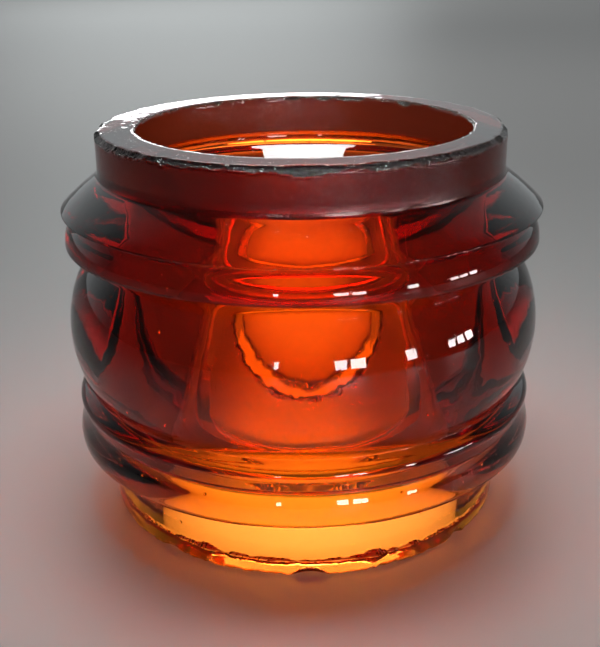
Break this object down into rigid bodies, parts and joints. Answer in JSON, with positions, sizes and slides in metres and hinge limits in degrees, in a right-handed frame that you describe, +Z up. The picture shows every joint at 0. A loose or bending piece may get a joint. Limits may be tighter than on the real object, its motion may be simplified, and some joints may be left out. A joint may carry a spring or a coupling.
{
  "type": "lantern lens",
  "caption": "Ring-shaped pressed-glass lantern lens with a convex belt, refracting rings above and below it, and a plain collar at each end for the lantern frame.",
  "frame": {"origin": "on the lens axis at the plane of the bottom rim", "axes": "+Z up along the lens axis, towards the top collar; +X is the side the bore is off centre towards"},
  "size_m": [0.103, 0.103, 0.083],
  "materials": {
    "amber_glass": "fire-polished amber-red pressed glass with chipped rims"
  },
  "bodies": {
    "root": {"lens_glass": "amber_glass"}
  },
  "joints": []
}
